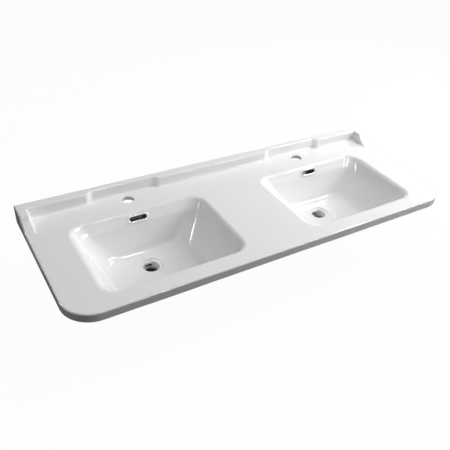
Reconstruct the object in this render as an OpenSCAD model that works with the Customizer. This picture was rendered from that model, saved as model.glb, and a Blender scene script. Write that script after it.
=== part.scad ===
/* [Slab] */
// Length along the wall
length = 1200; // [1120:10:1500]
// Depth from the wall to the front edge
depth = 460; // [450:5:540]
// Height of the outer edge
edge_h = 25; // [22:1:40]
// Thickness of the deck inside the edge
deck_t = 12; // [10:1:16]
// Width of the lip that stands on the cabinet
lip_w = 12; // [8:1:20]
// Plan radius of the two front corners
corner_r = 78; // [40:1:100]
// Rounding of the upper edge
edge_r = 4; // [2:0.5:8]
// Rounding of the lower edge
foot_r = 2; // [1:0.5:4]
// Width of the rib under the middle of the deck
rib_w = 16; // [12:1:30]

/* [Upstand] */
// Height of the upstand above the deck
upstand_h = 32; // [25:1:60]
// Thickness of the upstand
upstand_t = 31; // [27:1:34]
// Rounding of the upstand's top edge
upstand_r = 5; // [2:0.5:8]
// Hollow fillet between the upstand and the deck
upstand_foot = 9; // [6:1:10]
// The same fillet where the upstand steps back
recess_foot = 6; // [4:1:10]
// How far the upstand steps back behind a tap
recess_d = 12; // [6:1:15]
// Width of the step behind a tap
recess_w = 202; // [150:2:260]
// Length of the S-curve at each end of the step
recess_blend = 26; // [16:1:40]

/* [End wings] */
// Thickness of a wing
wing_t = 26; // [22:1:34]
// Length of a wing's level top, from the wall
wing_top = 54; // [54:1:90]
// Radius of the shoulder where the top turns down
wing_shoulder_r = 12; // [6:1:20]
// Steepest angle of the wing's ogee
wing_angle = 60; // [45:1:75]
// Plan radius of the inner corner between upstand and wing, at the top
corner_top_r = 4; // [2:0.5:6]
// The same radius at the foot
corner_foot_r = 12; // [6:1:12]

/* [Bowls] */
// Distance between the middles of the two bowls
bowl_pitch = 602; // [520:2:760]
// Width of a bowl's mouth
bowl_w = 412; // [360:2:500]
// Distance from the wall to the back of the mouth
bowl_setback = 115; // [112:1:140]
// Width of the mouth from front to back
bowl_l = 304; // [260:2:340]
// Plan radius of the mouth's corners
bowl_r = 52; // [40:1:70]
// Depth of a bowl at its drain
bowl_depth = 130; // [110:1:160]
// Ceramic thickness of a bowl
bowl_wall = 12; // [9:1:15]
// Radius of the rolled rim at the front and sides
rim_roll_r = 20; // [10:1:28]
// Radius of the rolled rim at the back
back_roll_r = 9; // [6:1:14]
// Draft of the side walls
side_draft = 27; // [15:1:32]
// Draft of the front wall
front_draft = 22; // [12:1:30]
// Draft of the band that carries the overflow
band_draft = 28; // [22:1:32]
// Depth of the crease under that band
band_depth = 30.5; // [30:0.5:38]
// Draft of the back wall under the crease
back_draft = 13; // [8:1:16]
// Fillet between the walls and the floor
floor_fillet = 36; // [20:1:45]
// Plan radius of the floor's corners
floor_r = 68; // [40:1:70]
// Slope of the floor towards the drain
floor_tilt = 4; // [2:0.5:6]

/* [Holes] */
// Diameter of a tap hole
tap_d = 35; // [32:0.5:38]
// Distance from the wall to a tap hole
tap_setback = 57.5; // [56:0.5:80]
// Flat for the tap's nut, under the deck
tap_flat_d = 56; // [48:1:64]
// Rounding of a tap hole's upper edge
tap_ease = 2; // [1:0.5:3]
// Diameter of a drain hole
drain_d = 45; // [42:0.5:50]
// Diameter of the seat for the drain's flange
drain_seat_d = 62; // [61:1:70]
// Depth of that seat
drain_seat_h = 3; // [2:0.5:5]
// Rounding of the edges of the seat and the drain hole
drain_ease = 3; // [1:0.5:3]
// Distance from the wall to a drain hole
drain_setback = 214; // [205:1:240]
// Length of a drain hole from the floor to the boss's foot
drain_h = 46; // [35:1:60]
// Outer diameter of a drain boss
boss_d = 76; // [68:1:90]

/* [Overflow] */
// Width of the slot in the bowl's wall
slot_w = 56; // [48:1:60]
// Height of that slot
slot_h = 17; // [14:0.5:19]
// Depth of the slot's middle below the deck
slot_depth = 18.5; // [18:0.5:20]
// Width of the passage behind the bowl
duct_w = 62; // [60:1:80]
// Clear depth of the passage
duct_t = 13; // [10:1:18]
// Ceramic around the passage
duct_wall = 9; // [7:1:12]
// How far the passage is sunk into the back of the bowl's wall
duct_relief = 1; // [0.5:0.5:2]
// Height of the outlet in the drain hole
outlet_h = 6; // [5:1:10]
// Width of that outlet
outlet_w = 18; // [14:1:30]

/* [Overflow trims] */
// Height of a trim's flange
trim_h = 25; // [24.5:0.5:28]
// Thickness of the flange
trim_t = 2.2; // [1.5:0.1:3]
// Gap between the trim's sleeve and the slot
trim_gap = 0.9; // [0.8:0.1:1.2]
// Wall of the sleeve
sleeve_t = 1.4; // [1:0.1:2]
// Length of the sleeve behind the flange
sleeve_l = 14; // [13:0.5:18]
// Thickness of a spring
spring_t = 0.5; // [0.4:0.05:0.6]
// Width of a spring
spring_w = 7; // [5:0.5:8]

/* [Hidden] */
$fn = 96;
// Steps of the rolled rim, the floor fillet, a bowl's corner and the floor
roll_steps = 4;
fillet_steps = 5;
corner_steps = 6;
floor_steps = 3;
// Steps of a top edge, a hollow fillet, an S-curve, an ogee arc and an inner corner
edge_steps = 2;
foot_steps = 3;
blend_steps = 6;
ogee_steps = 6;
turn_steps = 4;
// Overlap that makes a cut or a joint certain
bite = 1;
// How far the floor runs on inside the drain's seat
seat_overlap = 7;
// How late a bowl's corner radius grows on the way down
corner_growth = 1.3;
// Hollow blend between a boss and its bowl
boss_blend = 8;
// Shares of a low moulding's height that its top rounding and its hollow fillet take
top_share = 0.3;
hollow_share = 0.6;
// Least height of the moulding's section, sunk into the deck where the moulding is lower
least_rise = 0.3;
// Clearance between a spring and what it lies on
spring_gap = 0.05;
// How far a spring reaches out behind the ceramic
spring_catch = 2.5;
// Length of the straight sides of a trim and of its slot
trim_straight = slot_w - slot_h;
// Ceramic that the slot goes through
slot_wall = bowl_wall - duct_relief;

// Planes and centre lines, measured from the middle of the lip's underside
wall_y = depth / 2;
end_x = length / 2;
mouth_back = wall_y - bowl_setback;
mouth_front = mouth_back - bowl_l;
drain_y = wall_y - drain_setback;
tap_y = wall_y - tap_setback;
bowl_x = bowl_pitch / 2;

// Radius at which the floor's slope ends
floor_end_r = drain_seat_d / 2 - seat_overlap;

// Where the side wall leaves the rolled rim
rim_inset = rim_roll_r * cos(side_draft);
rim_depth = rim_roll_r * (1 - sin(side_draft));
rim_corner_r = bowl_r - rim_inset;

// Points [inset, depth] down one wall: rolled rim, upper wall, crease, lower wall, floor fillet.
// The fillet ends on the floor's slope, and reach is how far the drain lies inside the mouth.
function wall_points(roll_r, upper, lower, reach) =
    let (
        crease_x = roll_r * cos(upper) + (band_depth - roll_r * (1 - sin(upper))) * tan(upper),
        crease = [crease_x, band_depth],
        drop = floor_fillet * (cos(floor_tilt) - sin(lower)),
        run = floor_fillet * (cos(lower) - sin(floor_tilt)),
        start_x = crease_x + run - (band_depth + drop) * tan(lower),
        floor_rise = (reach - start_x) * tan(floor_tilt),
        foot_depth = (bowl_depth - floor_rise) / (1 - tan(lower) * tan(floor_tilt)),
        turn = crease + (foot_depth - drop - band_depth) * [tan(lower), 1]
    )
    concat(
        [for (i = [0:roll_steps]) let (a = (90 - upper) * i / roll_steps) roll_r * [sin(a), 1 - cos(a)]],
        [crease, (crease + turn) / 2],
        [for (i = [0:fillet_steps])
            let (a = (90 - lower) + (floor_tilt - 90 + lower) * i / fillet_steps)
            turn + floor_fillet * [cos(lower) - sin(a), cos(a) - sin(lower)]]
    );

// Unit vector from a line into the ceramic, square to the line
function outward(from, to) = [from.y - to.y, to.x - from.x] / norm(to - from);

// The same points moved out through the ceramic, with every face as thick
function moved_out(points, distance) =
    let (last = len(points) - 1)
    [for (k = [0:last])
        let (
            above = outward(points[max(k - 1, 0)], points[max(k, 1)]),
            below = outward(points[min(k, last - 1)], points[min(k + 1, last)])
        )
        points[k] + distance * (above + below) / (1 + above * below)];

side_wall = wall_points(rim_roll_r, side_draft, side_draft, bowl_w / 2 - floor_end_r);
front_wall = wall_points(rim_roll_r, front_draft, front_draft, drain_y - floor_end_r - mouth_front);
back_wall = wall_points(back_roll_r, band_draft, back_draft, mouth_back - drain_y - floor_end_r);
foot_depth = side_wall[len(side_wall) - 1].y;

// Corner radius of a bowl at a depth: the corners open out towards the floor
function corner_radius(inset, level) =
    let (share = max(level - rim_depth, 0) / (foot_depth - rim_depth))
    level <= rim_depth
    ? bowl_r - inset
    : rim_corner_r + (floor_r - rim_corner_r) * pow(share, corner_growth);

// One ring of a bowl, as a rounded rectangle whose sides have their own depths
function bowl_ring(side, back, front, r) =
    [for (c = [0:3], i = [0:corner_steps])
        let (
            a = 90 * (c + i / corner_steps),
            hand = c == 0 || c == 3 ? 1 : -1,
            across = c < 2 ? back : front,
            y = c < 2 ? mouth_back - back.x - r : mouth_front + front.x + r,
            level = side.y * pow(cos(a), 2) + across.y * pow(sin(a), 2)
        )
        [hand * (bowl_w / 2 - side.x - r) + r * cos(a), y + r * sin(a), -level]];

// The ring around the drain, with as many points
function drain_ring(level) =
    [for (c = [0:3], i = [0:corner_steps])
        let (
            a = 90 * (c + i / corner_steps),
            gap = [c == 0 || c == 3 ? bite : -bite, c < 2 ? bite : -bite] / 2
        )
        [gap.x + floor_end_r * cos(a), drain_y + gap.y + floor_end_r * sin(a), -level]];

// Rings of the floor, from the foot of the walls to the drain
function floor_rings(foot, level) =
    let (target = drain_ring(level))
    [for (j = [1:floor_steps])
        [for (i = [0:len(foot) - 1]) foot[i] + (target[i] - foot[i]) * j / floor_steps]];

// Rings of a bowl's wall, moved out by a distance, from one point of the wall points down
function wall_rings(distance, first) =
    let (
        side = moved_out(side_wall, distance),
        back = moved_out(back_wall, distance),
        front = moved_out(front_wall, distance)
    )
    [for (k = [first:len(side) - 1])
        let (grown = side_wall[k].x - side[k].x)
        bowl_ring(side[k], back[k], front[k], grown + corner_radius(side_wall[k].x, side_wall[k].y))];

// A closed solid through rings of equal counts, from the top ring down
module loft(rings) {
    n = len(rings[0]);
    last = len(rings) - 1;
    polyhedron(
        points = [for (r = rings) each r],
        faces = concat(
            [[for (i = [n - 1:-1:0]) i]],
            [for (k = [0:last - 1], i = [0:n - 1], half = [0:1])
                let (a = k * n + i, b = k * n + (i + 1) % n)
                half == 0 ? [a, b, b + n] : [a, b + n, a + n]],
            [[for (i = [0:n - 1]) last * n + i]]
        )
    );
}

// The hollow of a bowl, open upwards past the deck
module bowl_hollow() {
    rings = wall_rings(0, 0);
    lift = [0, 0, bite];
    lid = [for (p = rings[0]) p + lift];
    loft(concat([lid], rings, floor_rings(rings[len(rings) - 1], bowl_depth)));
}

// The outside of a bowl under the deck
module bowl_outside() {
    rings = wall_rings(bowl_wall, roll_steps);
    lid = [for (p = rings[0]) [p.x, p.y, -deck_t / 2]];
    loft(concat([lid], rings, floor_rings(rings[len(rings) - 1], bowl_depth + bowl_wall)));
}

// Section of the slab's edge, from the start of the round corner outwards
module edge_section() {
    translate([0, foot_r])
        square([corner_r, edge_h - foot_r - edge_r]);
    square([corner_r - foot_r, foot_r + bite]);
    square([corner_r - edge_r, edge_h]);
    translate([corner_r - edge_r, edge_h - edge_r])
        circle(edge_r);
    translate([corner_r - foot_r, foot_r])
        circle(foot_r);
}

// The slab: runs of the edge section, turned through the front corners, around a plain middle
module slab() {
    side_l = depth - corner_r;
    front_l = length - 2 * corner_r;
    translate([-front_l / 2, -wall_y + corner_r, 0])
        cube([front_l, side_l, edge_h]);
    translate([-front_l / 2, -wall_y + corner_r, 0])
        rotate([90, 0, 90])
            linear_extrude(front_l)
                mirror([1, 0])
                    edge_section();
    for (hand = [0, 1])
        mirror([hand, 0, 0]) {
            translate([front_l / 2, wall_y, 0])
                rotate([90, 0, 0])
                    linear_extrude(side_l)
                        edge_section();
            translate([front_l / 2, -wall_y + corner_r, 0])
                rotate([0, 0, -90])
                    rotate_extrude(angle = 90)
                        edge_section();
        }
}

// Plan of the slab, drawn in from its edge
module slab_plan(inset) {
    translate([-end_x + inset, -wall_y + corner_r])
        square([length - 2 * inset, depth - corner_r - inset]);
    translate([-end_x + corner_r, -wall_y + inset])
        square([length - 2 * corner_r, depth - 2 * inset]);
    for (hand = [-1, 1])
        translate([hand * (end_x - corner_r), -wall_y + corner_r])
            circle(corner_r - inset);
}

// Height of the moulding over the deck along a wing, as [distance from the wall, height]
sweep_r = upstand_h / (1 - cos(wing_angle)) - wing_shoulder_r;
wing_l = wing_top + (sweep_r + wing_shoulder_r) * sin(wing_angle);
ogee = concat(
    [for (i = [0:ogee_steps])
        let (a = wing_angle * i / ogee_steps)
        [wing_top + wing_shoulder_r * sin(a), upstand_h - wing_shoulder_r * (1 - cos(a))]],
    [for (i = [ogee_steps - 1:-1:1])
        let (a = wing_angle * i / ogee_steps)
        [wing_l - sweep_r * sin(a), sweep_r * (1 - cos(a))]],
    [[wing_l, -bite / 4]]
);

// How far the face steps back at a place along the wall, from 0 to 1
function step_back(x) =
    let (u = (recess_w / 2 - abs(abs(x) - bowl_x)) / recess_blend + 0.5, t = min(max(u, 0), 1))
    t * t * (3 - 2 * t);

// Places along the wall where the moulding needs a section
moulding_x = [for (tap = [-1, 1], edge = [-1, 1], i = [0:blend_steps])
    tap * bowl_x + edge * recess_w / 2 + (i / blend_steps - 0.5) * recess_blend];

// Section of the moulding as [distance inwards, height], for its height, thickness and hollow fillet
function moulding_section(h, t, hollow) =
    let (
        rise = max(h, least_rise),
        top_r = min(upstand_r, top_share * rise),
        hollow_r = min(hollow, hollow_share * rise)
    )
    concat(
        [[t + hollow_r, -edge_r - bite]],
        [for (i = [foot_steps:-1:0])
            let (a = 90 * i / foot_steps)
            [t + hollow_r * (1 - cos(a)), h - rise + hollow_r * (1 - sin(a))]],
        [for (i = [0:edge_steps])
            let (a = 90 * i / edge_steps)
            [t - top_r * (1 - cos(a)), h - top_r * (1 - sin(a))]],
        [for (i = [edge_steps:-1:0])
            let (a = 90 * i / edge_steps)
            [edge_r * (1 - cos(a)), h - edge_r * (1 - sin(a))]],
        [[0, -edge_r - bite]]
    );

// One station of the moulding: where its outer face stands, which way is inwards, and its section
function station(x, y, inwards, section) =
    [for (p = section) [x + inwards.x * p.x, y + inwards.y * p.x, edge_h + p.y]];

// One station of a back corner, where each inner line runs round an arc that opens out towards the foot
function corner_station(hand, turn) =
    [for (p = moulding_section(upstand_h, upstand_t, upstand_foot))
        let (
            fall = min(max(1 - p.y / upstand_h, 0), 1),
            share = min(p.x / upstand_t, 1),
            r = share * (corner_top_r + (corner_foot_r - corner_top_r) * fall),
            x = end_x - p.x * wing_t / upstand_t - r + r * cos(turn)
        )
        [hand * x, wall_y - p.x - r + r * sin(turn), edge_h + p.y]];

// The upstand with its wings: one moulding, turned at the back corners and fading out along the ends
module moulding() {
    turns = [for (i = [0:turn_steps]) 90 * i / turn_steps];
    left_wing = [for (i = [len(ogee) - 1:-1:0])
        station(-end_x, wall_y - ogee[i].x, [1, 0], moulding_section(ogee[i].y, wing_t, upstand_foot))];
    right_wing = [for (p = ogee)
        station(end_x, wall_y - p.x, [-1, 0], moulding_section(p.y, wing_t, upstand_foot))];
    back = [for (x = moulding_x)
        let (
            t = upstand_t - recess_d * step_back(x),
            hollow = upstand_foot + (recess_foot - upstand_foot) * step_back(x)
        )
        station(x, wall_y, [0, -1], moulding_section(upstand_h, t, hollow))];
    loft(concat(
        left_wing,
        [for (turn = turns) corner_station(-1, turn)],
        back,
        [for (i = [turn_steps:-1:0]) corner_station(1, turns[i])],
        right_wing
    ));
}

// The space under the deck inside the lip, less the middle rib
module underside() {
    difference() {
        translate([0, 0, -bite])
            linear_extrude(edge_h - deck_t + bite)
                slab_plan(lip_w);
        translate([-rib_w / 2, -wall_y, -2 * bite])
            cube([rib_w, depth, edge_h]);
    }
}

// Line that follows the outside of the back wall at a distance, from a depth down to the floor's foot
// and on under the floor
function back_line(distance, top, run_on) =
    let (
        points = moved_out(back_wall, distance),
        first = roll_steps + 1,
        rise = (points[first].y - top) * [tan(band_draft), 1],
        end = points[len(points) - 1] + run_on * [cos(floor_tilt), sin(floor_tilt)],
        line = concat([points[first] - rise], [for (k = [first:len(points) - 1]) points[k]], [end])
    )
    [for (p = line) [mouth_back - p.x, -p.y]];

// The band between two such lines
module back_strip(near, far, top, run_on) {
    inner = back_line(near, top, run_on);
    outer = back_line(far, top, run_on);
    polygon(concat(inner, [for (k = [len(outer) - 1:-1:0]) outer[k]]));
}

// A strip given its width along the wall
module back_run(w) {
    translate([-w / 2, 0, 0])
        rotate([90, 0, 90])
            linear_extrude(w)
                children();
}

// Outside of the drain boss with its hollow blend to the bowl
module boss_outside() {
    straight_h = drain_h - bowl_wall - boss_blend;
    translate([0, drain_y, -bowl_depth - drain_h])
        rotate_extrude()
            difference() {
                square([boss_d / 2 + boss_blend, drain_h]);
                translate([boss_d / 2 + boss_blend, straight_h])
                    circle(boss_blend);
                translate([boss_d / 2, -bite])
                    square([boss_blend + bite, straight_h + bite]);
            }
}

// A round mouth cut into a level face, with its edge rounded over
module rounded_mouth(r, ease) {
    rotate_extrude()
        difference() {
            translate([0, -ease])
                square([r + ease, ease + 2 * bite]);
            translate([r + ease, -ease])
                circle(ease);
        }
}

// Seat and hole of a drain
module drain_cut() {
    translate([0, drain_y, -bowl_depth]) {
        rounded_mouth(drain_seat_d / 2, drain_ease);
        translate([0, 0, -drain_seat_h])
            cylinder(d = drain_seat_d, h = drain_seat_h + 2 * bite);
        translate([0, 0, -drain_seat_h])
            rounded_mouth(drain_d / 2, drain_ease);
        translate([0, 0, -drain_h - bite])
            cylinder(d = drain_d, h = drain_h);
    }
}

// Tap hole with the flat for its nut under the deck
module tap_cut() {
    translate([0, tap_y, 0]) {
        rounded_mouth(tap_d / 2, tap_ease);
        translate([0, 0, -edge_h])
            cylinder(d = tap_d, h = edge_h);
        translate([0, 0, -edge_h - bite])
            cylinder(d = tap_flat_d, h = edge_h - deck_t + bite);
    }
}

// One overflow passage: slot, duct down the back of the bowl and outlet into the drain hole
module overflow_hollow() {
    back_run(duct_w)
        back_strip(slot_wall, slot_wall + duct_t, deck_t, bite);
    seat_frame()
        rotate([90, 0, 0])
            linear_extrude(2 * bowl_wall + bite, center = true)
                stadium(slot_w, slot_h);
    outlet_top = bowl_depth + bowl_wall + bite;
    translate([-outlet_w / 2, drain_y, -outlet_top - outlet_h])
        cube([outlet_w, boss_d / 2 + bite, outlet_h]);
}

// The frame of an overflow slot: its origin on the bowl's wall, +Y square into the ceramic
module seat_frame() {
    rim_y = back_roll_r * (1 - sin(band_draft));
    band_y = mouth_back - back_roll_r * cos(band_draft) - (slot_depth - rim_y) * tan(band_draft);
    translate([0, band_y, -slot_depth])
        rotate([-band_draft, 0, 0])
            children();
}

// A slot with round ends
module stadium(w, h) {
    square([w - h, h], center = true);
    for (hand = [-1, 1])
        translate([hand * (w - h) / 2, 0])
            circle(d = h);
}

module basin_casting() {
    color("white")
        difference() {
            union() {
                difference() {
                    union() {
                        slab();
                        moulding();
                    }
                    underside();
                }
                for (hand = [-1, 1])
                    translate([hand * bowl_x, 0, edge_h]) {
                        bowl_outside();
                        boss_outside();
                        back_run(duct_w + 2 * duct_wall)
                            back_strip(bowl_wall / 2, slot_wall + duct_t + duct_wall, deck_t / 2, duct_wall);
                    }
            }
            for (hand = [-1, 1])
                translate([hand * bowl_x, 0, edge_h]) {
                    bowl_hollow();
                    overflow_hollow();
                    drain_cut();
                    tap_cut();
                }
        }
}

// Chrome trim: a domed flange and a sleeve, both with round ends. Drawn with +Z out of the slot.
module trim_shape() {
    sleeve_r = slot_h / 2 - trim_gap;
    for (hand = [0, 1])
        mirror([hand, 0, 0])
            translate([trim_straight / 2, 0, 0])
                rotate([0, 0, -90])
                    rotate_extrude(angle = 180)
                        trim_section(sleeve_r);
    for (turn = [0, 180])
        rotate([0, 0, turn])
            translate([-trim_straight / 2, 0, 0])
                rotate([90, 0, 90])
                    linear_extrude(trim_straight)
                        trim_section(sleeve_r);
}

// Section of the trim from the middle of its round end outwards
module trim_section(sleeve_r) {
    dome = trim_t / 2;
    translate([sleeve_r - sleeve_t, -sleeve_l])
        square([sleeve_t, sleeve_l + dome]);
    translate([sleeve_r - sleeve_t + dome, 0])
        square([trim_h / 2 - sleeve_r + sleeve_t - 2 * dome, trim_t]);
    translate([sleeve_r - sleeve_t + dome, dome])
        circle(dome);
    translate([trim_h / 2 - dome, dome])
        circle(dome);
}

// Places a trim in its slot, from drawing axes to the seat on the bowl's wall
module trim_place(hand) {
    translate([hand * bowl_x, 0, edge_h])
        seat_frame()
            rotate([90, 0, 0])
                children();
}

// Two sprung tongues that wrap the ends of the sleeve and catch behind the ceramic
module spring_pair() {
    inner_r = slot_h / 2 - trim_gap + spring_gap;
    wrap = 2 * asin(spring_w / 2 / inner_r);
    for (hand = [0, 1])
        mirror([hand, 0, 0])
            translate([trim_straight / 2, 0, 0])
                rotate([0, 0, -wrap / 2])
                    rotate_extrude(angle = wrap)
                        translate([inner_r, 0])
                            polygon([
                                [0, -spring_gap],
                                [spring_t, -spring_gap],
                                [spring_t, -slot_wall - spring_gap],
                                [spring_catch + spring_t, -slot_wall - spring_catch],
                                [spring_t, -slot_wall - 2 * spring_catch - spring_t],
                                [0, -slot_wall - 2 * spring_catch - spring_t],
                                [spring_catch, -slot_wall - spring_catch],
                                [0, -slot_wall - spring_gap]
                            ]);
}

module left_overflow_trim() {
    color("silver")
        trim_place(-1)
            trim_shape();
}

module right_overflow_trim() {
    color("silver")
        trim_place(1)
            trim_shape();
}

module left_trim_springs() {
    color("gray")
        trim_place(-1)
            spring_pair();
}

module right_trim_springs() {
    color("gray")
        trim_place(1)
            spring_pair();
}

basin_casting();
left_overflow_trim();
right_overflow_trim();
left_trim_springs();
right_trim_springs();
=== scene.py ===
import math

import bmesh
import bpy
from mathutils import Matrix, Vector


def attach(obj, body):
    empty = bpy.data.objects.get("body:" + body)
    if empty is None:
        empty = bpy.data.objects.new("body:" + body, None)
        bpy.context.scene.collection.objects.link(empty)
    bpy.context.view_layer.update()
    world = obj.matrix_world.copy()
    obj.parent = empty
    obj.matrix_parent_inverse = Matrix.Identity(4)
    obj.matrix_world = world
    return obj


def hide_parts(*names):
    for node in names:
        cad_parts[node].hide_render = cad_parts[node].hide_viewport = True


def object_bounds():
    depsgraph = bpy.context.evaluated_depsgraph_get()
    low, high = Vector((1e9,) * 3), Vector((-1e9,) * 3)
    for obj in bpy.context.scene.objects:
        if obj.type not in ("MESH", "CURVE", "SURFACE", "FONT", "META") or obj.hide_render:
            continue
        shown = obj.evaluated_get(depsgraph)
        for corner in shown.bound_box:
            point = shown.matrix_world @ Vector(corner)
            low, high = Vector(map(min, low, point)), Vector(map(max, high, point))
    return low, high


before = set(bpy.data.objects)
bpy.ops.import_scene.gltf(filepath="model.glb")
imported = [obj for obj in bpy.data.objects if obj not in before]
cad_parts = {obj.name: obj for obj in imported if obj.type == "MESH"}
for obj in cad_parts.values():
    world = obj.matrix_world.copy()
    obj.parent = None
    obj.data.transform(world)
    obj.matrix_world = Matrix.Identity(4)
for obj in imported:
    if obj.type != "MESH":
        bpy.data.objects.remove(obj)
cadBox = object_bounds()
print("frame loaded, nodes:", sorted(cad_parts))


# Small tools for outlines and pieces. Sizes are millimetres, angles are degrees, and the half of the basin
# at +X is drawn and then mirrored
mm = 0.001

# Distances under which two points or levels count as one
near = dict(weld=0.004, mirror=0.01, level=0.01, rim=0.001)

# Edges that turn by more than this stay sharp in the shading
sharpEdge = dict(china=35, chrome=50)


def sine(angle):
    return math.sin(math.radians(angle))


def cosine(angle):
    return math.cos(math.radians(angle))


def tangent(angle):
    return math.tan(math.radians(angle))


def arc(centre, radius, start, end, steps):
    # points of an arc, both ends included
    turns = [start + (end - start) * i / steps for i in range(steps + 1)]
    return [Vector(centre) + radius * Vector((cosine(t), sine(t))) for t in turns]


def between(a, b, steps):
    # points that divide a line, both ends left out
    return [a.lerp(b, i / steps) for i in range(1, steps)]


def eased(a, corner, b, steps):
    # a soft bend from a to b that is drawn towards the corner, both ends included
    return [a.lerp(corner, i / steps).lerp(corner.lerp(b, i / steps), i / steps) for i in range(steps + 1)]


def startChain(bm, points, closed=True):
    chain = [bm.verts.new(p) for p in points]
    ends = chain[1:] + (chain[:1] if closed else [])
    for a, b in zip(chain, ends):
        bm.edges.new((a, b))
    return chain


def chainEdges(bm, chain, closed=True):
    ends = chain[1:] + (chain[:1] if closed else [])
    return [bm.edges.get(pair) for pair in zip(chain, ends)]


def pull(bm, chain, points, closed=True):
    # extrudes a chain of vertices and sets the new one on the given points
    made = bmesh.ops.extrude_edge_only(bm, edges=chainEdges(bm, chain, closed))["geom"]
    fresh = {v for v in made if isinstance(v, bmesh.types.BMVert)}
    following = [next(e.other_vert(v) for e in v.link_edges if e.other_vert(v) in fresh) for v in chain]
    for v, p in zip(following, points):
        v.co = p
    return following


def addObject(name, data):
    piece = bpy.data.objects.new(name, data)
    bpy.context.scene.collection.objects.link(piece)
    return piece


def addMesh(bm, name):
    mesh = bpy.data.meshes.new(name)
    bm.to_mesh(mesh)
    bm.free()
    return addObject(name, mesh)


def makePiece(bm, name, sharpAngle=sharpEdge["china"]):
    # turns a bmesh in millimetres into a smooth shaded piece in metres
    bmesh.ops.remove_doubles(bm, verts=bm.verts[:], dist=near["weld"])
    bmesh.ops.recalc_face_normals(bm, faces=bm.faces[:])
    bmesh.ops.transform(bm, matrix=Matrix.Scale(mm, 4), verts=bm.verts[:])
    piece = addMesh(bm, name)
    shadeSmooth(piece.data, sharpAngle)
    return piece


def shadeSmooth(mesh, sharpAngle):
    for polygon in mesh.polygons:
        polygon.use_smooth = True
    mesh.set_sharp_from_angle(angle=math.radians(sharpAngle))


def flattenFaces(piece):
    # keeps the broad flat faces flat beside their rounded edges
    weighted = piece.modifiers.new("flat faces", "WEIGHTED_NORMAL")
    weighted.keep_sharp = True
    weighted.weight = 100


def carve(piece, tool, operation):
    # joins a tool piece to a piece or cuts it out, for good
    cut = piece.modifiers.new("carve", "BOOLEAN")
    cut.operation = operation
    cut.object = tool
    cut.solver = "MANIFOLD"
    evaluated = piece.evaluated_get(bpy.context.evaluated_depsgraph_get())
    mesh = bpy.data.meshes.new_from_object(evaluated)
    piece.modifiers.remove(cut)
    spare = piece.data
    piece.data = mesh
    bpy.data.meshes.remove(spare)
    bpy.data.objects.remove(tool)


# Slab: outline and edge of the deck
slab = dict(length=1200, depth=460, edge=25, deck=12, lip=12, corner=78, edgeRound=4, footRound=2,
            lipRound=1, lipFillet=3)
endX = slab["length"] / 2
wallY = slab["depth"] / 2
deckTop = slab["edge"]
deckUnder = slab["edge"] - slab["deck"]

# Upstand with its end wings, along which its roundings shrink with its height, down to a least size
upstand = dict(height=32, thick=31, wingThick=26, topRound=5, foot=9, recessFoot=6, recessDepth=12,
               recessWidth=202, recessBlend=26, wingTop=54, shoulder=12, steepest=60, cornerTop=4,
               cornerFoot=12)
shrink = dict(top=0.3, hollow=0.6, least=1)

# Bowls
bowl = dict(pitch=602, width=412, setback=115, length=304, corner=52, depth=130, wall=12, rimRoll=20,
            backRoll=9, sideDraft=27, frontDraft=22, bandDraft=28, bandDepth=30.5, backDraft=13,
            creaseEase=5, fillet=36, floorCorner=68, cornerGrowth=1.3, floorTilt=4, underFillet=9,
            filletShare=0.9)
bowlX = bowl["pitch"] / 2
mouthBack = wallY - bowl["setback"]
mouthFront = mouthBack - bowl["length"]
bowlFloor = deckTop - bowl["depth"]
bowlUnder = bowlFloor - bowl["wall"]

# Holes
holes = dict(tap=35, tapSetback=57.5, tapEase=2, drain=45, seat=62, seatDepth=3, ease=3, drainSetback=214,
             drainLength=46, boss=76, bossBlend=8, bossEase=1.5, floorEnd=24, chamfer=0.6)
drainY = wallY - holes["drainSetback"]
tapY = wallY - holes["tapSetback"]

# How finely each form is divided
steps = dict(roll=14, band=4, crease=6, wall=9, fillet=16, corner=24, floor=14, edge=6, hollow=8, top=6,
             foot=3, lip=2, ogee=16, turn=8, blend=14, slabCorner=30, hole=72, ease=5, tapEase=4,
             underFillet=5, pad=4, slotEnd=24)


def wallLine(roll, upper, lower, reach):
    # points (inset, depth) down one wall: rolled rim, band, crease, wall, fillet to the floor's slope
    slope = bowl["floorTilt"]
    creaseIn = roll * cosine(upper) + (bowl["bandDepth"] - roll * (1 - sine(upper))) * tangent(upper)
    drop = bowl["fillet"] * (cosine(slope) - sine(lower))
    run = bowl["fillet"] * (cosine(lower) - sine(slope))
    startIn = creaseIn + run - (bowl["bandDepth"] + drop) * tangent(lower)
    rise = (reach - startIn) * tangent(slope)
    footDepth = (bowl["depth"] - rise) / (1 - tangent(lower) * tangent(slope))
    crease = Vector((creaseIn, bowl["bandDepth"]))
    turn = crease + (footDepth - drop - bowl["bandDepth"]) * Vector((tangent(lower), 1))
    above = crease - bowl["creaseEase"] * Vector((sine(upper), cosine(upper)))
    below = crease + bowl["creaseEase"] * Vector((sine(lower), cosine(lower)))
    line = [roll * Vector((sine(t), 1 - cosine(t)))
            for t in ((90 - upper) * i / steps["roll"] for i in range(steps["roll"] + 1))]
    line += between(line[-1], above, steps["band"])
    line += eased(above, crease, below, steps["crease"])
    line += between(below, turn, steps["wall"])
    filletCentre = turn + bowl["fillet"] * Vector((cosine(lower), -sine(lower)))
    line += arc(filletCentre, bowl["fillet"], 180 - lower, 90 + slope, steps["fillet"])
    return line


sideLine = wallLine(bowl["rimRoll"], bowl["sideDraft"], bowl["sideDraft"],
                    bowl["width"] / 2 - holes["floorEnd"])
backLine = wallLine(bowl["backRoll"], bowl["bandDraft"], bowl["backDraft"],
                    mouthBack - drainY - holes["floorEnd"])
frontLine = wallLine(bowl["rimRoll"], bowl["frontDraft"], bowl["frontDraft"],
                     drainY - holes["floorEnd"] - mouthFront)


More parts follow.
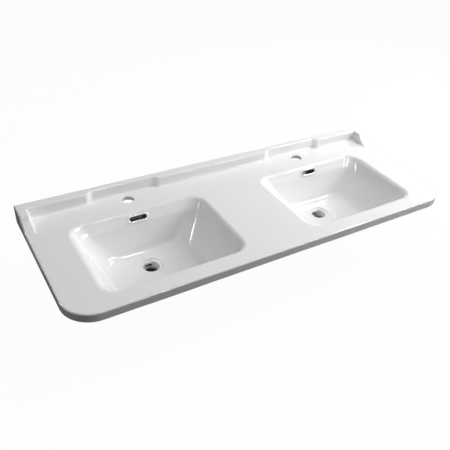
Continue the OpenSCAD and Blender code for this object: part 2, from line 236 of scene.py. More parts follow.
def movedOut(line, distance):
    # the same line pushed out through the china, square to its faces
    moved = []
    for k, point in enumerate(line):
        before = line[max(k, 1)] - line[max(k, 1) - 1]
        after = line[min(k + 1, len(line) - 1)] - line[min(k, len(line) - 2)]
        a = Vector((-before.y, before.x)).normalized()
        b = Vector((-after.y, after.x)).normalized()
        moved.append(point + distance * (a + b) / (1 + a.dot(b)))
    return moved


def cornerRadius(point):
    # plan radius of a bowl's corners at a point of the side wall, which opens out towards the floor
    rimDepth = bowl["rimRoll"] * (1 - sine(bowl["sideDraft"]))
    rimCorner = bowl["corner"] - bowl["rimRoll"] * cosine(bowl["sideDraft"])
    if point.y <= rimDepth + near["rim"]:
        return bowl["corner"] - point.x
    share = (point.y - rimDepth) / (sideLine[-1].y - rimDepth)
    return rimCorner + (bowl["floorCorner"] - rimCorner) * share ** bowl["cornerGrowth"]


def bowlRing(side, back, front, corner):
    # one ring of a bowl, with the depth of each wall carried around the corners
    ring = []
    for quarter in range(4):
        hand = 1 if quarter in (0, 3) else -1
        across = back if quarter < 2 else front
        y = mouthBack - back.x - corner if quarter < 2 else mouthFront + front.x + corner
        for step in range(steps["corner"] + 1):
            t = 90 * (quarter + step / steps["corner"])
            level = side.y * cosine(t) ** 2 + across.y * sine(t) ** 2
            x = bowlX + hand * (bowl["width"] / 2 - side.x - corner) + corner * cosine(t)
            ring.append(Vector((x, y + corner * sine(t), deckTop - level)))
    return ring


def drainRing(radius, level):
    # a circle round the drain with as many points as a ring of the bowl
    count = 4 * (steps["corner"] + 1)
    turns = [360 * (i + 0.5) / count for i in range(count)]
    return [Vector((bowlX + radius * cosine(t), drainY + radius * sine(t), level)) for t in turns]


def floorRings(foot, target):
    # rings that lead evenly from the foot of a wall to a circle round the drain
    shares = [j / steps["floor"] for j in range(1, steps["floor"] + 1)]
    return [[a.lerp(b, share) for a, b in zip(foot, target)] for share in shares]


def rimSection(rise, thick, foot):
    # section of the basin's edge as (distance from the outer face, height), with or without the upstand
    hollow = max(min(foot, shrink["hollow"] * rise), shrink["least"])
    top = max(min(upstand["topRound"], shrink["top"] * rise), shrink["least"])
    crest = deckTop + rise
    edge, footRound = slab["edgeRound"], slab["footRound"]
    lipRound, lipFillet = slab["lipRound"], slab["lipFillet"]
    face = arc((thick + hollow, deckTop + hollow), hollow, 270, 180, steps["hollow"])
    face += arc((thick - top, crest - top), top, 0, 90, steps["top"])
    section = [Vector((p.x, min(max(p.y, deckTop), crest))) for p in face]
    section += arc((edge, crest - edge), edge, 90, 180, steps["edge"])
    section += arc((footRound, footRound), footRound, 180, 270, steps["foot"])
    section += arc((slab["lip"] - lipRound, lipRound), lipRound, 270, 360, steps["lip"])
    section += arc((slab["lip"] + lipFillet, deckUnder - lipFillet), lipFillet, 180, 90, steps["foot"])
    return section


def edgeStation(x, y, inward, rise=0):
    # section along the front, round the front corners and along a wing
    section = rimSection(rise, upstand["wingThick"], upstand["foot"])
    return [Vector((x + inward[0] * p.x, y + inward[1] * p.x, p.y)) for p in section]


def wallStation(x):
    # section along the wall, where the face steps back behind a tap
    stepped = stepBack(x)
    thick = upstand["thick"] - upstand["recessDepth"] * stepped
    foot = upstand["foot"] + (upstand["recessFoot"] - upstand["foot"]) * stepped
    return [Vector((x, wallY - p.x, p.y)) for p in rimSection(upstand["height"], thick, foot)]


def cornerStation(turn):
    # section in the back corner, where each inner line runs round an arc that opens out towards the foot
    points = []
    for p in rimSection(upstand["height"], upstand["thick"], upstand["foot"]):
        above = p.y > deckTop - near["level"]
        fall = 1 - (p.y - deckTop) / upstand["height"] if above else 0
        r = upstand["cornerTop"] + (upstand["cornerFoot"] - upstand["cornerTop"]) * fall
        r *= min(p.x / upstand["thick"], 1)
        inset = p.x * (upstand["wingThick"] / upstand["thick"] if above else 1)
        points.append(Vector((endX - inset - r + r * cosine(turn), wallY - p.x - r + r * sine(turn), p.y)))
    return points


def wingProfile():
    # (distance from the wall, height) along a wing: shoulder, then the hollow sweep down to the deck
    sweep = upstand["height"] / (1 - cosine(upstand["steepest"])) - upstand["shoulder"]
    end = upstand["wingTop"] + (sweep + upstand["shoulder"]) * sine(upstand["steepest"])
    turns = [upstand["steepest"] * i / steps["ogee"] for i in range(1, steps["ogee"] + 1)]
    shoulder = [(upstand["wingTop"] + upstand["shoulder"] * sine(t),
                 upstand["height"] - upstand["shoulder"] * (1 - cosine(t))) for t in turns]
    hollow = [(end - sweep * sine(t), sweep * (1 - cosine(t))) for t in turns[-2::-1]]
    return shoulder + hollow + [(end, 0)]


def stepBack(x):
    # 1 in the recess behind a tap and 0 beside it, with a smooth blend between
    u = (upstand["recessWidth"] / 2 - abs(x - bowlX)) / upstand["recessBlend"] + 0.5
    u = min(max(u, 0), 1)
    return u * u * (3 - 2 * u)


def rimStations():
    # from the middle of the front edge, round the corner, up the wing and along the wall to the middle
    stations = [edgeStation(0, -wallY, (0, 1))]
    centre = (endX - slab["corner"], -wallY + slab["corner"])
    for i in range(steps["slabCorner"] + 1):
        t = -90 + 90 * i / steps["slabCorner"]
        out = Vector((cosine(t), sine(t)))
        x, y = Vector(centre) + slab["corner"] * out
        stations.append(edgeStation(x, y, (-out.x, -out.y)))
    for distance, rise in reversed(wingProfile()):
        stations.append(edgeStation(endX, wallY - distance, (-1, 0), rise))
    stations += [cornerStation(90 * i / steps["turn"]) for i in range(steps["turn"] + 1)]
    half = steps["blend"] / 2
    for edge in (1, -1):
        for i in range(steps["blend"] + 1):
            x = bowlX + edge * upstand["recessWidth"] / 2 + (half - i) / half * upstand["recessBlend"] / 2
            stations.append(wallStation(x))
    stations.append(wallStation(0))
    return stations


def sweepRim(bm):
    # returns the inner line on the deck and the inner line under it
    stations = rimStations()
    chain = startChain(bm, stations[0], closed=False)
    deckLine, underLine = [chain[0]], [chain[-1]]
    for points in stations[1:]:
        chain = pull(bm, chain, points, closed=False)
        deckLine.append(chain[0])
        underLine.append(chain[-1])
    return deckLine, underLine


def drainProfile(reach, drop):
    # (radius, level) over the seat's eased edge, down the bore and round the boss to the floor's underside
    seat, drain, ease, chamfer = holes["seat"] / 2, holes["drain"] / 2, holes["ease"], holes["chamfer"]
    profile = [(reach - ease * sine(t), bowlFloor + (drop + ease) * (cosine(t) - 1) + drop)
               for t in (90 * i / steps["ease"] for i in range(1, steps["ease"] + 1))]
    bed = bowlFloor - holes["seatDepth"]
    profile += [(seat, bed + chamfer), (seat - chamfer, bed)]
    profile += [(p.x, p.y) for p in arc((drain + ease, bed - ease), ease, 90, 180, steps["ease"])]
    end = bowlFloor - holes["drainLength"]
    boss, soft, blend = holes["boss"] / 2, holes["bossEase"], holes["bossBlend"]
    profile += [(drain, end + soft), (drain + soft, end), (boss - soft, end), (boss, end + soft)]
    profile += [(p.x, p.y) for p in arc((boss + blend, bowlUnder - blend), blend, 180, 90, steps["ease"])]
    return profile


# How the bowl's floor is evened out, and how many rings of its fillet take part
relax = dict(passes=24, factor=0.5, rings=4)


def relaxFloor(bm, start, end):
    bm.verts.index_update()
    bm.verts.ensure_lookup_table()
    for _ in range(relax["passes"]):
        bmesh.ops.smooth_vert(bm, verts=bm.verts[start:end], factor=relax["factor"], use_axis_z=True)


def outerRings(outer, first):
    # rings of the outside of the bowl, from the floor's fillet up to the crease
    outside = []
    for k in range(len(sideLine) - 1, first - 1, -1):
        side, back, front = (line[k] for line in outer)
        outside.append(bowlRing(side, back, front, cornerRadius(sideLine[k]) + sideLine[k].x - side.x))
    return outside


def sinkBowl(bm):
    # one skin: down the inside of the bowl, through the drain hole and back up the outside
    rings = [bowlRing(s, b, f, cornerRadius(s)) for s, b, f in zip(sideLine, backLine, frontLine)]
    mouth = chain = startChain(bm, rings[0])
    for ring in rings[1:]:
        chain = pull(bm, chain, ring)
    floorStart = len(bm.verts) - relax["rings"] * len(chain)
    reach = holes["seat"] / 2 + holes["ease"]
    drop = (reach - holes["floorEnd"]) * tangent(bowl["floorTilt"])
    for ring in floorRings(rings[-1], drainRing(reach, bowlFloor + drop)):
        chain = pull(bm, chain, ring)
    relaxFloor(bm, floorStart, -len(chain))
    for radius, level in drainProfile(reach, drop):
        chain = pull(bm, chain, drainRing(radius, level))
    outer = [movedOut(line, bowl["wall"]) for line in (sideLine, backLine, frontLine)]
    first = steps["roll"] + 1
    outside = outerRings(outer, first)
    for ring in reversed(floorRings(outside[0], [v.co.copy() for v in chain])[:-1]):
        chain = pull(bm, chain, ring)
    for ring in outside:
        chain = pull(bm, chain, ring)
    return mouth, pullUnderFillet(bm, chain, outer, first)


def pullUnderFillet(bm, chain, outer, first):
    # hollow fillet between the outside of a bowl and the underside of the deck
    grown = cornerRadius(sideLine[first]) + sideLine[first].x
    bends = []
    for line in outer:
        fall = (line[first + 1] - line[first]).normalized()
        corner = line[first] - fall * (line[first].y - slab["deck"]) / fall.y
        fillet = bowl["underFillet"]
        run = min(fillet, bowl["filletShare"] * (line[first] - corner).length)
        bends.append(eased(corner + fall * run, corner, corner - Vector((fillet, 0)), steps["underFillet"]))
    for side, back, front in zip(*bends):
        chain = pull(bm, chain, bowlRing(side, back, front, grown - side.x))
    return chain


def boreTapHole(bm):
    r, ease = holes["tap"] / 2, holes["tapEase"]
    turns = [360 * i / steps["hole"] for i in range(steps["hole"])]
    profile = [(p.x, p.y) for p in arc((r + ease, deckTop - ease), ease, 90, 180, steps["tapEase"])]
    profile += [(r, deckUnder + holes["chamfer"]), (r + holes["chamfer"], deckUnder)]
    rings = [[Vector((bowlX + radius * cosine(t), tapY + radius * sine(t), z)) for t in turns]
             for radius, z in profile]
    top = chain = startChain(bm, rings[0])
    for ring in rings[1:]:
        chain = pull(bm, chain, ring)
    return top, chain


def fillFlat(bm, openLine, *loops):
    # fills the flat between an open line, whose ends lie on the middle plane, and closed loops
    closing = bm.edges.new((openLine[-1], openLine[0]))
    edges = chainEdges(bm, openLine, closed=False) + [closing]
    for loop in loops:
        edges += chainEdges(bm, loop)
    bmesh.ops.triangle_fill(bm, edges=edges, use_beauty=True, use_dissolve=False)


def mirrorHalf(bm):
    whole = bm.verts[:] + bm.edges[:] + bm.faces[:]
    bmesh.ops.mirror(bm, geom=whole, matrix=Matrix.Identity(4), merge_dist=near["mirror"], axis="X")


bm = bmesh.new()
deckLine, underLine = sweepRim(bm)
mouth, bowlRoot = sinkBowl(bm)
tapTop, tapFoot = boreTapHole(bm)
fillFlat(bm, deckLine, mouth, tapTop)
fillFlat(bm, underLine, bowlRoot, tapFoot)
mirrorHalf(bm)
basin = makePiece(bm, "basin_glaze")
print("casting skin:", len(basin.data.polygons), "faces")


# Overflow passages: the pad on the back of each bowl, the duct in it, its slot and its outlet. Each tool
# runs on a little past the face that it opens
duct = dict(width=62, clear=13, wall=9, relief=1, slotWidth=56, slotHeight=17, slotDepth=18.5, slotBefore=8,
            slotBehind=4, outletWidth=18, outletHeight=6, outletDrop=1, padRound=5, runOn=1)
slotWall = bowl["wall"] - duct["relief"]
outletZ = bowlUnder - duct["outletDrop"] - duct["outletHeight"] / 2

# Rib under the middle of the deck, sunk a little into the deck and the lip
rib = dict(width=16, overlap=1, lift=0.1)


def backStrip(near, far, top, runOn):
    # outline, in the plane square to the wall, of a band that follows the back of the bowl and its floor
    outline = []
    for distance in (near, far):
        line = movedOut(backLine, distance)[steps["roll"] + 1:]
        start = line[0] - (line[0].y - top) * Vector((tangent(bowl["bandDraft"]), 1))
        end = line[-1] + runOn * Vector((cosine(bowl["floorTilt"]), sine(bowl["floorTilt"])))
        side = [Vector((mouthBack - p.x, deckTop - p.y)) for p in [start] + line + [end]]
        outline += side if distance == near else side[::-1]
    return outline


def makeStrip(name, width, outline, rounded=0):
    # an outline widened across the bowl; the long edges of its far side can be rounded
    bm = bmesh.new()
    chain = startChain(bm, [Vector((bowlX - width / 2, p.x, p.y)) for p in outline])
    face = bm.faces.new(chain)
    pushed = bmesh.ops.extrude_face_region(bm, geom=[face])["geom"]
    moved = [v for v in pushed if isinstance(v, bmesh.types.BMVert)]
    bmesh.ops.translate(bm, vec=(width, 0, 0), verts=moved)
    if rounded:
        bm.edges.ensure_lookup_table()
        half = len(outline) // 2
        far = {tuple(round(c, 3) for c in p) for p in outline[half:]}
        edges = [e for e in bm.edges
                 if all((round(v.co.y, 3), round(v.co.z, 3)) in far for v in e.verts)
                 and abs(e.verts[0].co.x - e.verts[1].co.x) < near["level"]]
        bmesh.ops.bevel(bm, geom=edges, offset=rounded, segments=steps["pad"], profile=0.5, affect="EDGES",
                        material=-1)
    mirrorHalf(bm)
    return makePiece(bm, name)


def slotFrame(hand):
    # frame of an overflow slot: origin on the bowl's wall, +Z out of the slot, +Y up
    rimDepth = bowl["backRoll"] * (1 - sine(bowl["bandDraft"]))
    inset = bowl["backRoll"] * cosine(bowl["bandDraft"])
    y = mouthBack - inset - (duct["slotDepth"] - rimDepth) * tangent(bowl["bandDraft"])
    place = Matrix.Translation((hand * bowlX, y, deckTop - duct["slotDepth"]))
    return place @ Matrix.Rotation(math.radians(90 - bowl["bandDraft"]), 4, "X")


def stadium(width, height, count):
    # points of a slot's outline with round ends
    r = height / 2
    reach = width / 2 - r
    turns = [-90 + 180 * i / count for i in range(count + 1)]
    right = [Vector((reach + r * cosine(t), r * sine(t))) for t in turns]
    return right + [-p for p in right]


def makeSlotTool():
    bm = bmesh.new()
    outline = stadium(duct["slotWidth"], duct["slotHeight"], steps["slotEnd"])
    place = slotFrame(1)
    chain = startChain(bm, [place @ Vector((p.x, p.y, duct["slotBefore"])) for p in outline])
    bm.faces.new(chain)
    chain = pull(bm, chain, [place @ Vector((p.x, p.y, -slotWall - duct["slotBehind"])) for p in outline])
    bm.faces.new(chain)
    mirrorHalf(bm)
    return makePiece(bm, "slot_tool")


def makeBlock(size, middle):
    bm = bmesh.new()
    bmesh.ops.create_cube(bm, size=1)
    bmesh.ops.scale(bm, vec=size, verts=bm.verts[:])
    bmesh.ops.translate(bm, vec=middle, verts=bm.verts[:])
    return bm


def makeOutletTool():
    length = holes["boss"] / 2 + duct["runOn"]
    size = (duct["outletWidth"], length, duct["outletHeight"])
    bm = makeBlock(size, (bowlX, drainY + length / 2, outletZ))
    mirrorHalf(bm)
    return makePiece(bm, "outlet_tool")


def makeRibTool():
    length = slab["depth"] - 2 * (slab["lip"] - rib["overlap"])
    height = deckUnder + rib["overlap"]
    bm = makeBlock((rib["width"], length, height), (0, 0, height / 2 + rib["lift"]))
    return makePiece(bm, "rib_tool")


padOutline = backStrip(bowl["wall"] / 2, slotWall + duct["clear"] + duct["wall"], slab["deck"] / 2,
                       duct["wall"])
ductOutline = backStrip(slotWall, slotWall + duct["clear"], slab["deck"], duct["runOn"])
carve(basin, makeRibTool(), "UNION")
carve(basin, makeStrip("pad_tool", duct["width"] + 2 * duct["wall"], padOutline, duct["padRound"]), "UNION")
carve(basin, makeStrip("duct_tool", duct["width"], ductOutline), "DIFFERENCE")
carve(basin, makeSlotTool(), "DIFFERENCE")
carve(basin, makeOutletTool(), "DIFFERENCE")
shadeSmooth(basin.data, sharpEdge["china"])
flattenFaces(basin)
print("casting with overflow passages:", len(basin.data.polygons), "faces")


# Overflow trims: a domed flange and a sleeve with round ends
trim = dict(height=25, thick=2.2, gap=0.9, sleeveWall=1.4, sleeve=14, collar=0.3, rounded=0.4)
trimSteps = dict(outside=8, inside=6, rounded=2, ends=28)


def makeTrim(hand, name):
    bm = bmesh.new()
    place = slotFrame(hand)
    sleeveOut = duct["slotHeight"] / 2 - trim["gap"]
    sleeveIn = sleeveOut - trim["sleeveWall"]
    flange = trim["height"] / 2
    dome = trim["thick"] / 2
    rounded, collar = trim["rounded"], trim["collar"]
    section = arc((flange - dome, dome), dome, -90, 90, trimSteps["outside"])
    section += arc((sleeveIn + dome, dome), dome, 90, 180, trimSteps["inside"])
    foot = rounded - trim["sleeve"]
    section += arc((sleeveIn + rounded, foot), rounded, 180, 270, trimSteps["rounded"])
    section += arc((sleeveOut - rounded, foot), rounded, 270, 360, trimSteps["rounded"])
    section += [Vector((sleeveOut, -collar)), Vector((sleeveOut + collar, 0))]
    reach = (duct["slotWidth"] - duct["slotHeight"]) / 2
    turns = [-90 + 180 * i / trimSteps["ends"] for i in range(trimSteps["ends"] + 1)]
    stations = [(1, t) for t in turns] + [(-1, t + 180) for t in turns] + [(1, -90)]
    chain = None
    for side, t in stations:
        points = [place @ Vector((side * reach + p.x * cosine(t), p.x * sine(t), p.y)) for p in section]
        chain = pull(bm, chain, points) if chain else startChain(bm, points)
    return makePiece(bm, name, sharpEdge["chrome"])


leftTrim = makeTrim(-1, "left_overflow_ring")
rightTrim = makeTrim(1, "right_overflow_ring")
for ring in (leftTrim, rightTrim):
    flattenFaces(ring)
print("overflow trims made")


# Materials

def toLinear(code):
    # sRGB hex to the linear colour that the shaders use
    parts = [int(code[i:i + 2], 16) / 255 for i in (1, 3, 5)]
    return [c / 12.92 if c <= 0.04045 else ((c + 0.055) / 1.055) ** 2.4 for c in parts] + [1]


def addNode(tree, kind, inputs=(), **settings):
    node = tree.nodes.new("ShaderNode" + kind)
    for name, value in settings.items():
        setattr(node, name, value)
    for socket, value in dict(inputs).items():
        if isinstance(value, bpy.types.NodeSocket):
            tree.links.new(value, node.inputs[socket])
        else:
            node.inputs[socket].default_value = value
    return node


def maths(tree, operation, *values):
    # a Math node with its inputs in order
    return addNode(tree, "Math", dict(enumerate(values)), operation=operation).outputs[0]


def ramp(tree, value, start, end, low=0, high=1):
    # runs from low to high while the value runs from start to end, and stays there
    return addNode(tree, "MapRange", {"Value": value, "From Min": start, "From Max": end,
                                      "To Min": low, "To Max": high}).outputs["Result"]


def mixed(tree, share, first, second):
    # mixes two colours, each one a hex code or a node's output
    first, second = (toLinear(c) if isinstance(c, str) else c for c in (first, second))
    return addNode(tree, "Mix", {0: share, 6: first, 7: second}, data_type="RGBA").outputs[2]


def noise(tree, place, size, detail):
    # soft noise with patches of about the given size in millimetres
    inputs = {"Vector": place, "Scale": 1 / (size * mm), "Detail": detail}
    return addNode(tree, "TexNoise", inputs).outputs["Fac"]


def inSpans(tree, *spans):
    # 1 where each value lies between its own bounds in millimetres
    mask = 1
    for value, low, high in spans:
        inside = maths(tree, "COMPARE", value, (low + high) / 2 * mm, (high - low) / 2 * mm)
        mask = maths(tree, "MULTIPLY", mask, inside)
    return mask


def newMaterial(name):
    material = bpy.data.materials.new(name)
    material.use_nodes = True
    material.node_tree.nodes.clear()
    return material, material.node_tree


def finishMaterial(tree, shader):
    addNode(tree, "OutputMaterial", {"Surface": shader.outputs[0]})


def objectPlace(tree):
    return addNode(tree, "TexCoord").outputs["Object"]


# Vitreous china, slip-cast, sprayed with an opaque white tin glaze and fired: a hard wet gloss that is
# never quite flat, a little cooler where it lies thick, and matt bisque where the piece stood in the kiln
glaze = dict(thin="#F4F4F5", thick="#F0F0F2", ior=1.52, roughness=0.03, cloud=160, wave=45,
             waveHeight=0.012, peel=2.4, peelHeight=0.0012)

# Bisque: where the glaze was wiped off the lip, the rib and the boss ends, as heights over each of them
bisque = dict(colour="#DDD5C8", roughness=0.7, footFrom=0.5, footTo=0.2, footLeast=-1, facingDown=-0.3,
              bossFrom=0.8, bossTo=0.4)

# Painted shade in the deep passages: a dark colour that stands in for the shade that falls there. In
# millimetres: how far down the drain bore it begins, the heights that the duct and its slot take up, and
# the outlet as measured from the drain's axis
paintedShade = dict(colour="#5A5855", depth=26, fade=5, boreMargin=0.3, ductMargin=0.5, ductFrom=-39, ductTo=15,
           outletMargin=0.3, outletFrom=19, outletTo=61, outletReach=7)


def bareMask(tree, axes):
    # 1 on the bisque
    height = axes.outputs["Z"]
    facing = addNode(tree, "SeparateXYZ", {"Vector": addNode(tree, "NewGeometry").outputs["True Normal"]})
    down = maths(tree, "LESS_THAN", facing.outputs["Z"], bisque["facingDown"])
    low = ramp(tree, height, bisque["footFrom"] * mm, bisque["footTo"] * mm)
    above = maths(tree, "GREATER_THAN", height, bisque["footLeast"] * mm)
    foot = maths(tree, "MULTIPLY", maths(tree, "MULTIPLY", low, above), down)
    bossEnd = bowlFloor - holes["drainLength"]
    boss = ramp(tree, height, (bossEnd + bisque["bossFrom"]) * mm, (bossEnd + bisque["bossTo"]) * mm)
    return maths(tree, "MAXIMUM", foot, boss)


def paintedShadeMask(tree, place, axes):
    # 1 where shade is painted in: the lower drain bore, the cored overflow duct and its outlet, for both
    #                              bowls at once
    height = axes.outputs["Z"]
    acrossX = maths(tree, "SUBTRACT", maths(tree, "ABSOLUTE", axes.outputs["X"]), bowlX * mm)
    acrossY = maths(tree, "SUBTRACT", axes.outputs["Y"], drainY * mm)
    across = addNode(tree, "CombineXYZ", {"X": acrossX, "Y": acrossY})
    reach = addNode(tree, "VectorMath", {0: across.outputs[0]}, operation="LENGTH").outputs["Value"]
    inBore = maths(tree, "LESS_THAN", reach, (holes["drain"] / 2 + paintedShade["boreMargin"]) * mm)
    start = bowlFloor - paintedShade["depth"]
    bore = maths(tree, "MULTIPLY", inBore, ramp(tree, height, start * mm, (start - paintedShade["fade"]) * mm))
    slotPlace = slotFrame(1)
    outward = slotPlace.to_3x3() @ Vector((0, 0, 1))
    behind = addNode(tree, "VectorMath", {0: place, 1: -outward}, operation="DOT_PRODUCT").outputs["Value"]
    ductFace = slotWall - slotPlace.translation.dot(outward)
    margin = paintedShade["ductMargin"]
    halfDuct = duct["width"] / 2 + margin
    passage = inSpans(tree, (behind, ductFace - margin, ductFace + duct["clear"] + margin),
                      (acrossX, -halfDuct, halfDuct), (height, paintedShade["ductFrom"], paintedShade["ductTo"]))
    halfOutlet = duct["outletWidth"] / 2 + paintedShade["outletMargin"]
    outlet = inSpans(tree, (acrossX, -halfOutlet, halfOutlet),
                     (acrossY, paintedShade["outletFrom"], paintedShade["outletTo"]),
                     (height, outletZ - paintedShade["outletReach"], outletZ + paintedShade["outletReach"]))
    outlet = maths(tree, "MULTIPLY", maths(tree, "SUBTRACT", 1, inBore), outlet)
    return maths(tree, "MAXIMUM", bore, maths(tree, "MAXIMUM", passage, outlet))


def makeGlaze():
    material, tree = newMaterial("glazed vitreous china")
    place = objectPlace(tree)
    axes = addNode(tree, "SeparateXYZ", {"Vector": place})
    bare = bareMask(tree, axes)
    tone = mixed(tree, noise(tree, place, glaze["cloud"], 2), glaze["thin"], glaze["thick"])
    # painted shade: the deep passages are given a dark colour in place of the shade that falls in them
    unlit = mixed(tree, paintedShadeMask(tree, place, axes), tone, paintedShade["colour"])
    colour = mixed(tree, bare, unlit, bisque["colour"])
    gloss = ramp(tree, bare, 0, 1, glaze["roughness"], bisque["roughness"])
    wave = noise(tree, place, glaze["wave"], 1)
    swell = addNode(tree, "Bump", {"Height": wave, "Strength": 1, "Distance": glaze["waveHeight"] * mm})
    peel = noise(tree, place, glaze["peel"], 1)
    skin = addNode(tree, "Bump", {"Height": peel, "Strength": 1, "Distance": glaze["peelHeight"] * mm,
                                  "Normal": swell.outputs["Normal"]})
    shader = addNode(tree, "BsdfPrincipled", {"Base Color": colour, "IOR": glaze["ior"], "Roughness": gloss,
                                              "Normal": skin.outputs["Normal"]})
    finishMaterial(tree, shader)
    return material


# Chrome plate on pressed brass: bright, slightly blue, with the faint cloud of a polished pressing
chrome = dict(bright="#EEEFF1", dull="#DEE0E3", roughness=0.03, smear=0.09, cloud=9, clearBelow=0.3,
              smearedAbove=0.8)


def makeChrome():
    material, tree = newMaterial("chrome-plated brass")
    cloud = noise(tree, objectPlace(tree), chrome["cloud"], 3)
    tone = mixed(tree, cloud, chrome["bright"], chrome["dull"])
    haze = ramp(tree, cloud, chrome["clearBelow"], chrome["smearedAbove"], chrome["roughness"],
                chrome["smear"])
    shader = addNode(tree, "BsdfPrincipled", {"Base Color": tone, "Metallic": 1, "Roughness": haze})
    finishMaterial(tree, shader)
    return material


# Tempered spring strip, rolled along its length: grey with fine streaks
springSteel = dict(light="#A9A9A6", dark="#8B8C8A", smooth=0.22, rough=0.38, streak=0.6, run=12)


def makeSpringSteel():
    material, tree = newMaterial("tempered spring steel")
    fine, long = 1 / (springSteel["streak"] * mm), 1 / (springSteel["run"] * mm)
    grain = addNode(tree, "Mapping", {"Vector": objectPlace(tree), "Scale": (fine, long, fine)})
    inputs = {"Vector": grain.outputs[0], "Scale": 1, "Detail": 2}
    streaks = addNode(tree, "TexNoise", inputs).outputs["Fac"]
    tone = mixed(tree, streaks, springSteel["light"], springSteel["dark"])
    rough = ramp(tree, streaks, 0, 1, springSteel["smooth"], springSteel["rough"])
    shader = addNode(tree, "BsdfPrincipled", {"Base Color": tone, "Metallic": 1, "Roughness": rough})
    finishMaterial(tree, shader)
    return material


def dress(piece, material):
    piece.data.materials.clear()
    piece.data.materials.append(material)


china = makeGlaze()
plate = makeChrome()
steel = makeSpringSteel()
dress(basin, china)
for ring in (leftTrim, rightTrim):
    dress(ring, plate)
for side in ("left", "right"):
    dress(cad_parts[side + "_trim_springs"], steel)
print("materials made")

for piece, node, finish in ((basin, "basin_casting", "glazed_ceramic"),
                            (leftTrim, "left_overflow_trim", "chrome"),
                            (rightTrim, "right_overflow_trim", "chrome")):
    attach(piece, "root")
    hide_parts(node)


# Studio: a white board in a pale surround. Broad soft lamps light the basin and are left out of its
# reflections, small ones are seen in reflections alone and make the sparkle, and a grey card just over the
# board, seen in reflections alone too, gives the white edges their darker lines. Places are in metres
studio = dict(floorSize=9, floorCells=8, board="#F4F4F4", bounce="#3A3A3B", glow=0.97)
greyCard = dict(colour="#7C7C7C", width=2.4, height=1.8, lift=1)
softLamps = dict(
    topRight=dict(place=(1.2, 0.1, 1.7), target=(0.3, 0, 0), width=1.0, height=0.9, watts=18.6),
    topLeft=dict(place=(-1.2, 0.1, 1.7), target=(-0.3, 0, 0), width=1.0, height=0.9, watts=9.2),
    rightLow=dict(place=(2.2, 0.2, 0.7), target=(0, 0, 0), width=0.8, height=0.8, watts=26),
    rightBack=dict(place=(1.5, 1.4, 1.1), target=(0, 0, 0), width=0.8, height=0.8, watts=1.4),
    rightFront=dict(place=(1.7, -1.5, 1.1), target=(0, 0, 0), width=0.9, height=0.9, watts=26),
    leftFront=dict(place=(-1.7, -1.5, 1.1), target=(0, 0, 0), width=0.9, height=0.9, watts=3.0))
sparkLamps = dict(
    sparkStrip=dict(place=(1.38, -1.45, 0.98), target=(-0.3, 0, 0), width=1.5, height=0.16, watts=22),
    sparkFront=dict(place=(0.28, -1.64, 1.61), target=(-0.3, 0, 0), width=0.3, height=0.25, watts=8),
    sparkLeft=dict(place=(-2.13, 0.27, 0.74), target=(0, 0, 0), width=0.1, height=0.06, watts=1.1),
    sparkHigh=dict(place=(-1.95, 0.3, 1.25), target=(-0.1, 0.1, 0), width=0.16, height=0.1, watts=1.6),
    sparkTop=dict(place=(1.5, -0.15, 1.65), target=(0.3, 0.1, 0), width=0.9, height=0.15, watts=8),
    sparkBack=dict(place=(-1.64, 1.05, 1.14), target=(0.4, 0, 0), width=0.3, height=0.3, watts=12))


def seenRays(tree):
    # 1 for the rays that show a background: those of the camera, of reflections and of clear pieces
    path = addNode(tree, "LightPath")
    seen = maths(tree, "MAXIMUM", path.outputs["Is Camera Ray"], path.outputs["Is Glossy Ray"])
    return maths(tree, "MAXIMUM", seen, path.outputs["Is Transmission Ray"])


def makeFloor():
    # the board glows for the rays that show it, and is dark for the light that would bounce off it
    bm = bmesh.new()
    cells = studio["floorCells"]
    bmesh.ops.create_grid(bm, x_segments=cells, y_segments=cells, size=studio["floorSize"] / 2)
    floor = addMesh(bm, "studio_floor")
    floor.location = (0, 0, cadBox[0].z)
    material, tree = newMaterial("white studio board")
    seen = seenRays(tree)
    matt = addNode(tree, "BsdfDiffuse", {"Color": mixed(tree, seen, studio["bounce"], studio["board"])})
    glow = addNode(tree, "Emission", {"Strength": 1})
    share = maths(tree, "MULTIPLY", seen, studio["glow"])
    shader = addNode(tree, "MixShader", {0: share, 1: matt.outputs[0], 2: glow.outputs[0]})
    finishMaterial(tree, shader)
    dress(floor, material)


def aim(piece, place, target):
    piece.location = place
    piece.rotation_euler = (Vector(target) - Vector(place)).to_track_quat("-Z", "Y").to_euler()


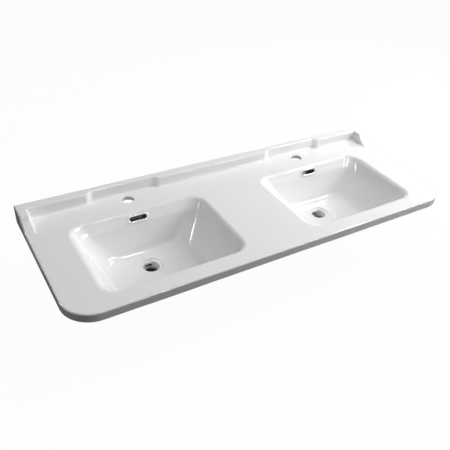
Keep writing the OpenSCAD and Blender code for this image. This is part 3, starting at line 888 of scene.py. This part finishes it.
def makeCard():
    bm = bmesh.new()
    bmesh.ops.create_grid(bm, x_segments=1, y_segments=1, size=0.5)
    bmesh.ops.scale(bm, vec=(greyCard["width"], greyCard["height"], 1), verts=bm.verts[:])
    card = addMesh(bm, "under_card")
    aim(card, (0, 0, cadBox[0].z + greyCard["lift"] * mm), (0, 0, 0))
    card.visible_camera = False
    card.visible_diffuse = False
    card.visible_shadow = False
    material, tree = newMaterial("grey studio card")
    finishMaterial(tree, addNode(tree, "BsdfDiffuse", {"Color": toLinear(greyCard["colour"])}))
    dress(card, material)


def makeWorld():
    # a surround that shows but gives no light of its own
    world = bpy.data.worlds.new("studio")
    bpy.context.scene.world = world
    world.use_nodes = True
    tree = world.node_tree
    tree.nodes.clear()
    shader = addNode(tree, "Background", {"Strength": seenRays(tree)})
    addNode(tree, "OutputWorld", {"Surface": shader.outputs[0]})


def addLamp(name, mirrored, place, target, width, height, watts):
    # a mirrored lamp shows as a highlight and lights nothing else, the others do the reverse
    light = bpy.data.lights.new(name, "AREA")
    light.shape = "RECTANGLE"
    light.size = width
    light.size_y = height
    light.energy = watts
    lamp = addObject(name, light)
    aim(lamp, place, target)
    lamp.visible_glossy = mirrored
    lamp.visible_diffuse = not mirrored


makeFloor()
makeWorld()
makeCard()
for name, lamp in softLamps.items():
    addLamp(name, False, **lamp)
for name, lamp in sparkLamps.items():
    addLamp(name, True, **lamp)
print("studio lit")


# Camera where the photographer stood, worked out from the slab's edges and holes in the picture.
# yaw turns it to the right of straight on, pitch is its downward tilt, roll its lean
view = dict(place=(-786.2, -1142.4, 936.9), yaw=35.06, pitch=35.39, roll=5.18, lens=45.2, sensor=36,
            shiftX=-0.0556)


def addCamera():
    yaw, pitch, roll = view["yaw"], view["pitch"], view["roll"]
    ahead = Vector((sine(yaw) * cosine(pitch), cosine(yaw) * cosine(pitch), -sine(pitch)))
    level = Vector((cosine(yaw), -sine(yaw), 0))
    up = level.cross(ahead)
    right = level * cosine(roll) + up * sine(roll)
    top = up * cosine(roll) - level * sine(roll)
    camera = bpy.data.cameras.new("camera")
    camera.lens = view["lens"]
    camera.sensor_width = view["sensor"]
    camera.shift_x = view["shiftX"]
    holder = addObject("camera", camera)
    turn = Matrix((right, top, -ahead)).transposed().to_4x4()
    holder.matrix_world = Matrix.Translation(Vector(view["place"]) * mm) @ turn
    bpy.context.scene.camera = holder


addCamera()
bpy.context.scene.view_settings.view_transform = "Standard"

print("scene ready")
